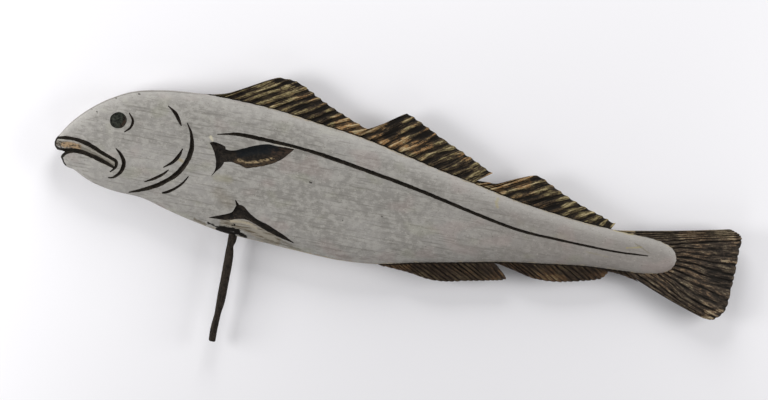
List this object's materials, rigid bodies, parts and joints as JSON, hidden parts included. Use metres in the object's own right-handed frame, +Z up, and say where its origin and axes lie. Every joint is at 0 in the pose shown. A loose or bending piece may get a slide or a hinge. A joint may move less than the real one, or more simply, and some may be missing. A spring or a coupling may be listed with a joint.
{
  "type": "fish weathervane",
  "caption": "Fish carved from a plank, with grey painted sides, ridged dark fins and gouged mouth, gills and lateral line, on a short rusted iron pivot rod.",
  "frame": {"origin": "on the surface that the fish lies on, under the middle of its box", "axes": "+X from the snout to the tail, +Y from the belly to the back, +Z up, out of the flank that shows"},
  "size_m": [1.0246, 0.402, 0.048],
  "materials": {
    "painted_wood": "old matt grey paint on the body, dark brown and gold stained fins, worn to bare wood on edges",
    "rusted_iron": "dark, pitted rust"
  },
  "bodies": {
    "root": {"carved_fish": "painted_wood", "pivot_rod": "rusted_iron"}
  },
  "joints": []
}
